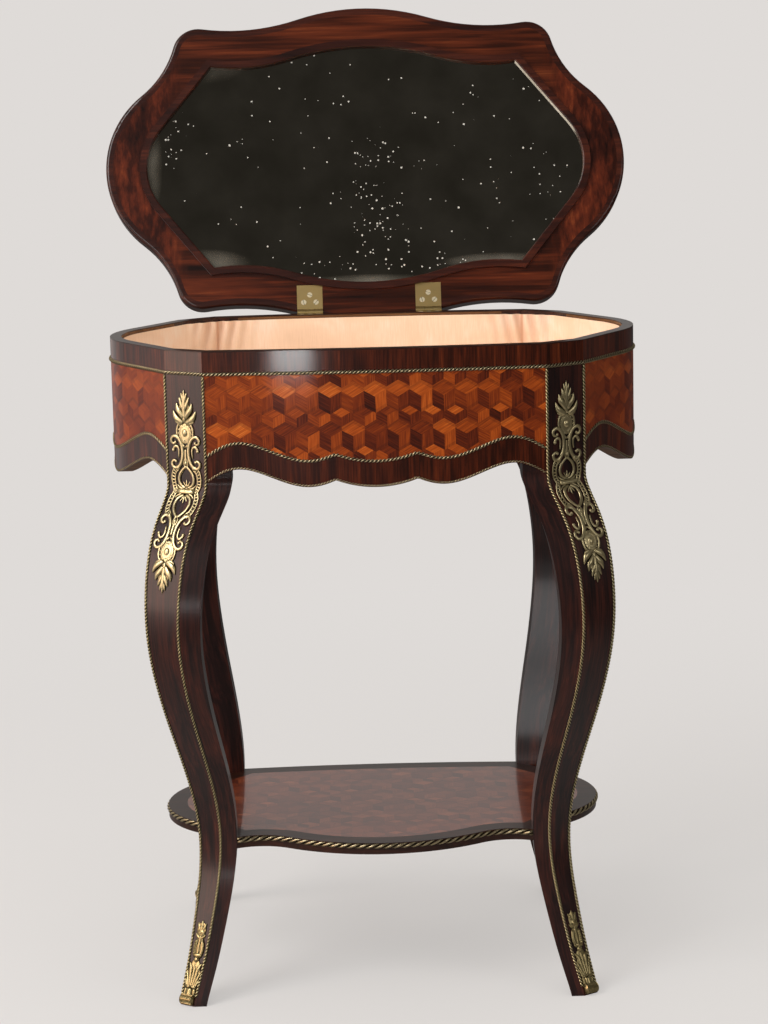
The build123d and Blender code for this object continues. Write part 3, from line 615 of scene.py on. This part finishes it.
# The right half of the upper part, with the ladder of bars between the ribbon's two rails
half_mount = [strand(*leaf) for leaf in PALMETTE + SHIELD + SCROLLS + RIBBON]
half_mount += [strand(rail, [RAIL_WIDTH] * len(rail)) for rail in RAILS]
half_mount += [strand(bar, [BAR_WIDTH] * 2) for bar in zip(*RAILS)]
for step in range(len(RAILS[0]) - 1):
    between = [[(a + b) / 2 for a, b in zip(rail[step], rail[step + 1])] for rail in RAILS]
    half_mount.append(strand(between, [THIN_BAR_WIDTH] * 2))
for spoke in range(-3, 4):
    beside, above = cos(spoke * SPOKE_TURN), sin(spoke * SPOKE_TURN)
    ends = [(wide * beside, CABOCHON + high * above) for wide, high in (SPOKE_START, SPOKE_END)]
    half_mount.append(strand(ends, [SPOKE_WIDTH] * 2))
half_mount += [stud(*place) for place in STUDS]
right = cast(half_mount)
upper = cast([right, mirrored(right, "X")] + [strand(*leaf) for leaf in MIDDLE]
             + [stud(*place) for place in BOSSES])
mount = cast([upper, mirrored(upper, "Y")] + [strand(*bar) for bar in CLASP] + [stud(*CLASP_BOSS)])
four_legs(laid_on_leg(mount, MOUNT_MIDDLE, MOUNT_DROP), "mount", "corner_mount", gilt)

# ---------------------------------------------------------------- sabots
# Each foot has a cast gilt shoe: a fan of acanthus from the toe, a knot, a pair of bars, a small
# rosette and three leaves, with a scroll under the toe that the leg stands behind.
FAN = [([(1.8, 20), (3.8, 36), (4.6, 45), (8.6, 49)], [4.4, 5.4, 5.6, 1.6]),
       ([(3.2, 20), (6.4, 32), (9.2, 40)], [4.4, 5.4, 1.6]),
       ([(4.4, 20), (7.2, 25.6), (8.8, 30.4)], [4.2, 4.6, 1.6]),
       ([(2.8, 56), (6.8, 65.6), (3, 75.4)], [4.8, 5.8, 4.6]),
       ([(0.6, 86), (3.8, 91), (5.4, 96)], [4.0, 5.4, 0.8]),
       ([(1, 78), (4.6, 79.6), (6.4, 83)], [3.4, 4.0, 1.0]),
       ([(5.4, 1), (6, 10), (5.4, 20)], [4.6, 4.6, 4.6]),
       ([(1.4, 4), (4.8, 8), (4.2, 14), (0.6, 16)], [3.0, 3.6, 3.6, 3.0])]
STEM = [([(0, 20), (0, 38), (0, 52)], [5.6, 5.4, 1.6]), ([(-7, 21.6), (7, 21.6)], [4.6, 4.6]),
        ([(0, 50), (0, 66), (0, 82)], [5.0, 4.4, 4.4]), ([(0, 86), (0, 92.6), (0, 99)], [4.6, 6.0, 0.8]),
        ([(0, 2), (0, 11), (0, 20)], [10, 11, 10])]
# Rosette, knot and clasp, the pearls up the stem, and the thin plates behind the leaves
ROSETTE = [(0, 84, 5.4, 5.4, 1.6), (0, 84, 2.2, 2.2, 2.6), (0, 58, 6.4, 2.8, 2.0), (0, 53, 3.4, 3.2, 2.3)]
PEARLS = [(4.6, 60 + 2.6 * step, 1.5, 1.4, 2.6) for step in range(6)]
PLATES = [(0, 88, 6, 9, 0.4), (0, 66, 7.6, 13, 0.4), (0, 36, 8.4, 18, 0.4), (0, 12, 8.6, 12, 0.5)]
SHOE_HEIGHT = 0.9
TOE_RADIUS, TOE_HEIGHT, TOE_WIDTH, TOE_REACH = 0.006, 0.007, 0.015, 0.035
# How far in from the one before each ring lies, and how far it stands out
TOE_RINGS = [(0.0009, 0.0005), (0.0011, -0.0008), (0.0012, 0.0009)]

# The same casting metal, made darker as painted shade near the floor, with painted shade in its hollows
shoe_brass = brass("gilt_shoes_in_painted_shade", "b9a676", "0e0a05", 0.26, 0.005)

side = cast([strand(*leaf) for leaf in FAN])
shoe = cast([side, mirrored(side, "X")] + [strand(*leaf) for leaf in STEM]
            + [stud(*place) for place in ROSETTE + PEARLS + PLATES])
shoe.scale.y = SHOE_HEIGHT
bpy.ops.object.transform_apply(scale=True)
shoe = laid_on_leg(shoe, 0, 1)

# The toe is a roll across the leg, with stepped rings in both ends and flutes round it
toe_middle = Vector((LEG_CORNER.x, -LEG_CORNER.y, TOE_HEIGHT)) + LEG_OUT * TOE_REACH
bpy.ops.mesh.primitive_cylinder_add(vertices=24, radius=TOE_RADIUS, depth=TOE_WIDTH, location=toe_middle,
                                    rotation=LEG_ACROSS.to_track_quat("Z", "Y").to_euler())
toe = bpy.context.object
bpy.ops.object.mode_set(mode="EDIT")
bpy.ops.mesh.select_all(action="DESELECT")
bpy.ops.mesh.select_mode(type="FACE")
bpy.ops.object.mode_set(mode="OBJECT")
for face in toe.data.polygons:
    face.select = abs(face.normal.z) > 0.9
bpy.ops.object.mode_set(mode="EDIT")
for thickness, depth in TOE_RINGS:
    bpy.ops.mesh.inset(thickness=thickness, depth=depth)
bpy.ops.object.mode_set(mode="OBJECT")
for face in toe.data.polygons:
    face.select = abs(face.normal.z) < 0.1 and face.area > 0.00001
bpy.ops.object.mode_set(mode="EDIT")
bpy.ops.mesh.inset(thickness=0.0004, depth=-0.0005, use_individual=True)
bpy.ops.mesh.select_mode(type="VERT")
bpy.ops.object.mode_set(mode="OBJECT")
bpy.ops.object.transform_apply(location=True, rotation=True)
bpy.ops.object.shade_smooth_by_angle(angle=radians(40))
four_legs(joined([shoe, toe], "shoe"), "sabot", "sabot", shoe_brass)

# ---------------------------------------------------------------- shelf
# An oak board dowelled between the legs. Its top has the same cubes inside a dark border, under a
# thick polish that has gone pale, and a heavy rope is pinned round its edge.
SHELF_ROPE_RADIUS, SHELF_ROPE_PITCH, SHELF_ROPE_HEIGHT = 0.0035, 0.031, 0.180
SHELF_MIDDLE = Vector((0.0, -0.021, SHELF_ROPE_HEIGHT))
# Rays look for the rope from off the shelf. What they meet near the middle, or only for a few rays,
# isn't a run of it
BEARINGS, OFF_SHELF, NEAREST_EDGE, SHORTEST_RUN = 720, 0.6, 0.05, 8

# Cubes under a thick polish, faded to a dull red brown with little between light and dark
shelf_cubes, shelf_shader, shelf_place = surface("cube_parquetry_shelf")
shelf_place = node(shelf_cubes, "SeparateXYZ", {0: shelf_place})
cube_parquetry(shelf_cubes, shelf_shader, shelf_place.outputs["X"], shelf_place.outputs["Y"], 0.34, 0.8,
               [(0.0, "4a1f12"), (0.4, "662c18"), (0.7, "7a3a20"), (1.0, "924d2c")])
dress(shelf_cubes, "shelf_parquetry")
dress(lipping, "shelf_border", "shelf_board")
dress(oak, "shelf_dowels")

runs = [[]]
for step in range(BEARINGS + 1):
    bearing = 2 * pi * step / BEARINGS + pi / 2
    ray = Vector((cos(bearing), sin(bearing), 0))
    edge = face_point("shelf_rope", SHELF_MIDDLE + ray * OFF_SHELF, -ray)
    if edge is None or (edge - SHELF_MIDDLE).dot(ray) < NEAREST_EDGE:
        runs.append([])
    else:
        runs[-1].append(edge - ray * SHELF_ROPE_RADIUS)
runs = [run for run in runs if len(run) > SHORTEST_RUN]
# The legs part the rope into four runs, and the run that the first ray meets comes in two halves
if len(runs) > 4:
    runs[0] = runs.pop() + runs[0][1:]
shelf_ropes = [twisted_rope(guide_line(run), SHELF_ROPE_RADIUS, SHELF_ROPE_PITCH) for run in runs]
shelf_rope = joined(shelf_ropes, "rope_round_shelf")
shelf_rope.data.materials.append(rope_brass)
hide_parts("shelf_rope")
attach(shelf_rope, "table")

# ---------------------------------------------------------------- silk lining
# Peach silk over a thin card, glued round the inside of the case and over its bottom. It is drawn
# into small puckers beside the corners, where it was turned in.
SILK_LOW, SILK_CUT, SILK_HIGH = 0.6338, 0.68, 0.7358
SILK_STEP, SILK_ROWS = 0.0025, 18
PUCKER_WIDTH, PUCKER_REACH, PUCKER_DEPTH = 0.015, 0.026, 0.0048
# How folds lean over as they rise, and how wide they are at the foot
PUCKER_LEAN, PUCKER_FOOT = 0.9, 0.4
SEAM_WIDTH, SEAM_SIDE = 0.0013, 0.02
# Dirt on the seam, and painted shade in the hollows beside it and on the folds
SEAM_DIRT, HOLLOW_SHADE, FOLD_SHADE = 0.8, 0.45, 0.12

# Peach silk, with slubs along the weave, a soft sheen, dirt on its seams and painted shade in its creases
silk, silk_shader, silk_place = surface("peach_silk")
silk_warp = node(silk, "VectorMath", {0: silk_place, 1: (900.0, 900.0, 60.0)}, operation="MULTIPLY")
silk_slub = node(silk, "TexNoise", {"Vector": silk_warp, "Scale": 1.0, "Detail": 3.0})
silk_cloud = node(silk, "TexNoise", {"Vector": silk_place, "Scale": 14.0, "Detail": 3.0, "Distortion": 0.8})
silk_tone = node(silk, "Mix", {"Factor": 0.3, 2: silk_cloud, 3: silk_slub}, data_type="FLOAT")
silk_colour = node(silk, "ValToRGB", {"Fac": silk_tone}, [(0.3, "ecc9a8"), (0.5, "fad8b8"), (0.7, "ffecd6")])
# The worn attribute darkens the silk: dirt on the seam, and painted shade in the puckers
silk_dirt_and_shade = node(silk, "Attribute", attribute_name="worn").outputs["Fac"]
silk_shaded = node(silk, "Mix", {"Factor": silk_dirt_and_shade, 6: silk_colour, 7: linear("c08462")}, data_type="RGBA")
silk_bump = node(silk, "Bump", {"Height": silk_cloud, "Strength": 0.5, "Distance": 0.003})
silk_weave = node(silk, "Bump",
                  {"Height": silk_slub, "Strength": 0.4, "Distance": 0.0002, "Normal": silk_bump})
plug(silk, silk_shader, {"Base Color": silk_shaded.outputs[2], "Normal": silk_weave, "Roughness": 0.55,
                         "Sheen Weight": 0.5, "Sheen Roughness": 0.35})


def ring_mesh(points, name):
    """A closed line of edges through points, left open for editing with all of it selected."""
    ring = bpy.data.meshes.new(name)
    ring.from_pydata(points, [(i, (i + 1) % len(points)) for i in range(len(points))], [])
    made = bpy.data.objects.new(name, ring)
    bpy.context.collection.objects.link(made)
    edit_all(made)
    return made


inner_line = [Vector((p.x, p.y, SILK_LOW)) for p in cut_outline("lining_walls", SILK_CUT, min)]
sides = list(zip(inner_line, inner_line[1:] + inner_line[:1]))
even_line, walked = [], 0.0
for start, end in sides:
    side_length = (end - start).length
    while len(even_line) * SILK_STEP < walked + side_length:
        even_line.append(start.lerp(end, (len(even_line) * SILK_STEP - walked) / side_length))
    walked += side_length
silk_walls = ring_mesh(even_line, "silk_walls")
up_a_row = {"value": (0, 0, (SILK_HIGH - SILK_LOW) / SILK_ROWS)}
for step in range(SILK_ROWS):
    bpy.ops.mesh.extrude_region_move(TRANSFORM_OT_translate=up_a_row)
bpy.ops.object.mode_set(mode="OBJECT")
# A seam stands near each corner, where the long sides end, and the silk folds beside it
seam = max(even_line, key=lambda p: p.x + 2 * p.y)
worn = silk_walls.data.attributes.new("worn", "FLOAT", "POINT")
for index, corner in enumerate(silk_walls.data.vertices):
    away = abs(corner.co.x) - seam.x
    rise = (corner.co.z - SILK_LOW) / (SILK_HIGH - SILK_LOW)
    if abs(corner.co.y) > seam.y - SEAM_SIDE:
        fold = 0.5 + 0.5 * cos(2 * pi * (away / PUCKER_WIDTH + PUCKER_LEAN * rise * rise))
        reach = exp(-((away / (PUCKER_REACH * (PUCKER_FOOT + rise))) ** 2)) * rise
        corner.co.y -= PUCKER_DEPTH * fold * reach * (1 if corner.co.y > 0 else -1)
        # Painted shade in the hollows between folds and over the puckered stretch
        crease_shade = HOLLOW_SHADE * reach * (1 - fold) + FOLD_SHADE * reach
        worn.data[index].value = SEAM_DIRT if abs(away) < SEAM_WIDTH else crease_shade
bpy.ops.object.shade_smooth()
silk_walls.data.materials.append(silk)
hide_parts("lining_walls")
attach(silk_walls, "table")

silk_floor = ring_mesh(inner_line, "silk_floor")
bpy.ops.mesh.edge_face_add()
bpy.ops.object.mode_set(mode="OBJECT")
silk_floor.data.materials.append(silk)
depth = 2 * max(p.y for p in inner_line)
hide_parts("lining_floor")
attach(silk_floor, "table")

# ---------------------------------------------------------------- lid and mirror
# A framed board of flame mahogany veneered outside like the case, with a dark moulded edge, and a
# bevelled looking-glass held in its underside by a raised bead. The silvering has gone dark and spotted.
LEAN = radians(17.5)
FLAME_FROM, FLAME_TO = 0.215, 0.25

# Flame mahogany: its grain goes up the sides of the frame, and across at the top and the bottom
flame, flame_shader, flame_place = surface("flame_mahogany")
flame_sides, flame_streaks = grain(
    flame, flame_place, [(0.34, "140502"), (0.46, "361206"), (0.58, "5e240e"), (0.74, "94481f")], 0.006)
flame_lie = node(flame, "Mapping", {"Vector": flame_place, "Rotation": (0, pi / 2, 0)})
flame_ends = grain(
    flame, flame_lie, [(0.34, "180702"), (0.46, "361305"), (0.58, "5c250d"), (0.74, "8c4a22")], 0.005)[0]
flame_off = node(flame, "VectorMath", {0: flame_place}, operation="ABSOLUTE")
flame_x = node(flame, "SeparateXYZ", {0: flame_off})
flame_which = node(flame, "MapRange",
                   {"Value": flame_x.outputs["X"], "From Min": FLAME_FROM, "From Max": FLAME_TO},
                   interpolation_type="SMOOTHSTEP")
flame_colour = node(flame, "Mix", {"Factor": flame_which, 6: flame_ends, 7: flame_sides}, data_type="RGBA")
french_polish(flame, flame_shader, flame_colour.outputs[2], flame_streaks, 0.34, 0.5)
dress(flame, "lid_frame")

# Mouldings stained nearly black, with a thin polish over the stain
edging = plain_wood("dark_edge_moulding", [(0.3, "140603"), (0.5, "331208"), (0.75, "5e2812")],
                    0.004, 0.4, 0.5, haze=0.12, level=True)
dress(edging, "lid_edge_moulding", "mirror_moulding")
dress(oak, "lid_board", "mirror_backboard")
dress(crossband, "lid_top_border")

# The same cubes on the slope of the lid, measured across and up it
top_cubes, top_shader, top_place = surface("cube_parquetry_lid")
top_across = node(top_cubes, "SeparateXYZ", {0: top_place})
top_up = node(top_cubes, "VectorMath", {0: top_place, 1: (0, sin(LEAN), cos(LEAN))}, operation="DOT_PRODUCT")
cube_parquetry(top_cubes, top_shader, top_across.outputs["X"], top_up.outputs["Value"], 0.3, 0.5)
dress(top_cubes, "lid_top_parquetry")

# Each worn place is its middle across and up, its half sizes and its strength
SPECKLED = [(0.012, 0.875, 0.052, 0.12, 0.5), (-0.236, 0.95, 0.024, 0.05, 0.5),
            (0.205, 0.885, 0.06, 0.06, 0.24), (0.03, 0.79, 0.2, 0.03, 0.3), (0.0, 0.92, 0.4, 0.2, 0.05)]
FOGGED = [(-0.19, 1.045, 0.05, 0.03, 0.2), (-0.2, 0.798, 0.06, 0.02, 0.3), (0.0, 0.77, 0.11, 0.014, 0.5),
          (-0.262, 0.92, 0.014, 0.06, 0.2), (0.16, 0.796, 0.07, 0.01, 0.3), (-0.06, 1.066, 0.06, 0.01, 0.3)]

# Old silvered glass: a dim warm mirror, with specks and fog where the silver has lifted
mirror, mirror_shader, mirror_place = surface("aged_looking_glass")
mirror_cloud = node(mirror, "TexNoise", {"Vector": mirror_place, "Scale": 22.0, "Detail": 5.0})


def patches(places):
    """A map of worn places on the glass."""
    strongest = None
    for x, z, wide, high, strength in places:
        off = node(mirror, "VectorMath", {0: mirror_place, 1: (x, 0.0, z)}, operation="SUBTRACT")
        sized = node(mirror, "VectorMath", {0: off, 1: (1 / wide, 0.0, 1 / high)}, operation="MULTIPLY")
        far = node(mirror, "VectorMath", {0: sized}, operation="LENGTH")
        worn = node(mirror, "MapRange", {"Value": far.outputs["Value"], "From Min": 1.0, "From Max": 0.2,
                                         "To Min": 0.0, "To Max": strength})
        strongest = worn if strongest is None else node(
            mirror, "Math", {0: strongest, 1: worn}, operation="MAXIMUM")
    return strongest


mirror_speck = node(mirror, "TexVoronoi", {"Vector": mirror_place, "Scale": 320.0})
mirror_chance = node(mirror, "SeparateColor", {0: mirror_speck.outputs["Color"]})
mirror_worn = patches(SPECKLED)
mirror_many = node(mirror, "Math", {0: mirror_cloud, 1: mirror_worn}, operation="MULTIPLY")
mirror_here = node(mirror, "Math", {0: mirror_chance.outputs["Red"], 1: mirror_many}, operation="LESS_THAN")
mirror_size = node(mirror, "Math", {0: mirror_chance.outputs["Green"], 1: 0.3, 2: 0.12},
                   operation="MULTIPLY_ADD")
mirror_dot = node(mirror, "Math", {0: mirror_speck, 1: mirror_size}, operation="LESS_THAN")
mirror_dots = node(mirror, "Math", {0: mirror_here, 1: mirror_dot}, operation="MULTIPLY")
mirror_fog = node(mirror, "Math", {0: patches(FOGGED), 1: mirror_cloud}, operation="MULTIPLY")
mirror_spot = node(mirror, "Math", {0: mirror_dots, 1: mirror_fog}, operation="MAXIMUM")
mirror_base = node(mirror, "ValToRGB", {"Fac": mirror_cloud}, [(0.3, "bab09c"), (0.7, "dacfba")])
mirror_colour = node(mirror, "Mix", {"Factor": mirror_spot, 6: mirror_base, 7: linear("c9c6bc")},
                     data_type="RGBA")
mirror_silver = node(mirror, "Math", {0: 1.0, 1: mirror_spot}, operation="SUBTRACT")
mirror_haze = node(mirror, "MapRange", {"Value": mirror_cloud, "From Min": 0.4, "From Max": 0.8,
                                        "To Min": 0.02, "To Max": 0.05})
plug(mirror, mirror_shader, {"Base Color": mirror_colour.outputs[2], "Metallic": mirror_silver,
                             "Roughness": mirror_haze})
dress(mirror, "mirror_glass")

# ---------------------------------------------------------------- hinges
# Two plain brass butts let into the rim and the lid, each with a loose pin and six slotted screws,
# all dulled to olive.

# Brass leaves under an old olive skin, with painted shade in their hollows
hinge_brass = brass("dull_hinge_brass", "c2a870", "5a4824", 0.42, 0.0015)
dress(hinge_brass, "hinge_case_leaves", "hinge_lid_leaves")

# Turned brass, with painted shade in its slots and hollows
screw_brass = brass("screw_brass", "f2e8c8", "6a5a38", 0.5, 0.0006)
dress(screw_brass, "hinge_case_screws", "hinge_lid_screws", "hinge_pins")

# ---------------------------------------------------------------- studio
# A pale seamless floor, a large soft lamp high on the left and a weak one on the right, three
# windows that lie as reflections on the posts, the top band and the rear leg, and the camera at the
# height of a standing person's chest.
bpy.ops.mesh.primitive_plane_add(size=60)
floor = bpy.context.object
floor.name = "studio_floor"

# Matt paper that takes shadows near the table, and passes into the even backdrop farther out
floor_paper, floor_shader, floor_place = surface("studio_paper")
plug(floor_paper, floor_shader, {"Base Color": linear("e4e1de"), "Roughness": 0.9, "Specular IOR Level": 0.1})
floor_off = node(floor_paper, "VectorMath", {0: floor_place}, operation="LENGTH")
floor_far = node(floor_paper, "MapRange",
                 {"Value": floor_off.outputs["Value"], "From Min": 0.3, "From Max": 2.0, "To Min": 0.6},
                 interpolation_type="SMOOTHSTEP")
floor_depth = node(floor_paper, "SeparateXYZ", {0: floor_place})
floor_front = node(floor_paper, "MapRange", {"Value": floor_depth.outputs["Y"], "From Min": -2.2,
                                             "From Max": -0.4, "To Min": 0.03, "To Max": 0.07})
# Painted light: far to the left the paper glows, showing in reflections and lighting the table
floor_left = node(floor_paper, "MapRange", {"Value": floor_depth.outputs["X"], "From Min": -0.8,
                                            "From Max": -2.6, "To Min": 0.0, "To Max": 0.9})
floor_pale = node(floor_paper, "Math", {0: floor_front, 1: floor_left}, operation="MAXIMUM")
floor_rays = node(floor_paper, "LightPath")
floor_seen = node(floor_paper, "Math", {0: floor_pale, 1: floor_rays.outputs["Is Camera Ray"]},
                  operation="MAXIMUM")
floor_glow = node(floor_paper, "Emission", {"Color": linear("dfdbd8"), "Strength": floor_seen})
floor_mix = node(floor_paper, "MixShader", {0: floor_far, 1: floor_shader, 2: floor_glow})
plug(floor_paper, floor_paper.node_tree.nodes["Material Output"], {"Surface": floor_mix})
floor.data.materials.append(floor_paper)

# The room lights the table evenly, reflects as brighter behind it and on the left, and is seen plain
world = bpy.data.worlds.new("studio")
bpy.context.scene.world = world
world.use_nodes = True
rays = node(world, "LightPath")
facing = node(world, "SeparateXYZ", {0: node(world, "TexCoord").outputs["Generated"]})
behind = node(world, "MapRange", {"Value": facing.outputs["Y"], "From Min": 0.1, "From Max": 0.85,
                                  "To Min": 0.034, "To Max": 0.5})
leftward = node(world, "MapRange", {"Value": facing.outputs["X"], "From Min": -0.1,
                                    "From Max": -0.9, "To Min": 0.0, "To Max": 0.36})
room = node(world, "Math", {0: behind, 1: leftward}, operation="ADD")
room_light = node(world, "Background", {"Color": linear("f4f2ee"), "Strength": room})
soft_light = node(world, "Background", {"Color": linear("fbfaf8"), "Strength": 0.68})
backdrop = node(world, "Background", {"Color": linear("dfdbd8"), "Strength": 1.0})
lit = node(world, "MixShader", {0: rays.outputs["Is Glossy Ray"], 1: soft_light, 2: room_light})
seen = node(world, "MixShader", {0: rays.outputs["Is Camera Ray"], 1: lit, 2: backdrop})
plug(world, world.node_tree.nodes["World Output"], {"Surface": seen})


def lamp(name, place, aim, size, power, height=None, colour="ffffff"):
    """A soft lamp at place that faces aim, square unless it has a height of its own."""
    bpy.ops.object.light_add(type="AREA", location=place)
    added = bpy.context.object
    added.name = name
    added.rotation_euler = (Vector(aim) - Vector(place)).to_track_quat("-Z", "Y").to_euler()
    added.data.shape = "RECTANGLE"
    added.data.size = size
    added.data.size_y = height or size
    added.data.energy = power
    added.data.color = linear(colour)[:3]


lamp("soft_lamp_left", (-2.4, -1.7, 2.9), (0, 0, 0.5), 1.8, 71)
lamp("soft_lamp_right", (2.6, -2.2, 1.8), (0, 0, 0.6), 1.4, 10)
lamp("window_left", (-3.2, -1.5, 1.0), (0, 0, 0.7), 1.5, 30, 1.8, "ffdccb")
lamp("window_front", (-0.62, -5.0, 0.125), (0, 0, 0.7), 0.32, 4, 0.13)
lamp("window_tall", (-1.45, -4.65, 1.85), (0.2, 0.15, 0.35), 0.9, 25, 2.0)

CAMERA_PLACE = (-0.0394, -3.1070, 1.1073)
CAMERA_YAW, CAMERA_PITCH, CAMERA_ROLL = radians(0.898), radians(-10.594), radians(-1.300)
FOCUS_PIXELS, PICTURE_HEIGHT, SENSOR_HEIGHT = 2718.8, 1024, 36
turn = Matrix.Rotation(-CAMERA_YAW, 3, "Z") @ Matrix.Rotation(pi / 2 + CAMERA_PITCH, 3, "X")
turn = turn @ Matrix.Rotation(CAMERA_ROLL, 3, "Z")
bpy.ops.object.camera_add(location=CAMERA_PLACE, rotation=turn.to_euler())
camera = bpy.context.object
camera.data.sensor_fit = "VERTICAL"
camera.data.sensor_height = SENSOR_HEIGHT
camera.data.lens = FOCUS_PIXELS * SENSOR_HEIGHT / PICTURE_HEIGHT
bpy.context.scene.camera = camera
bpy.context.scene.view_settings.view_transform = "Standard"
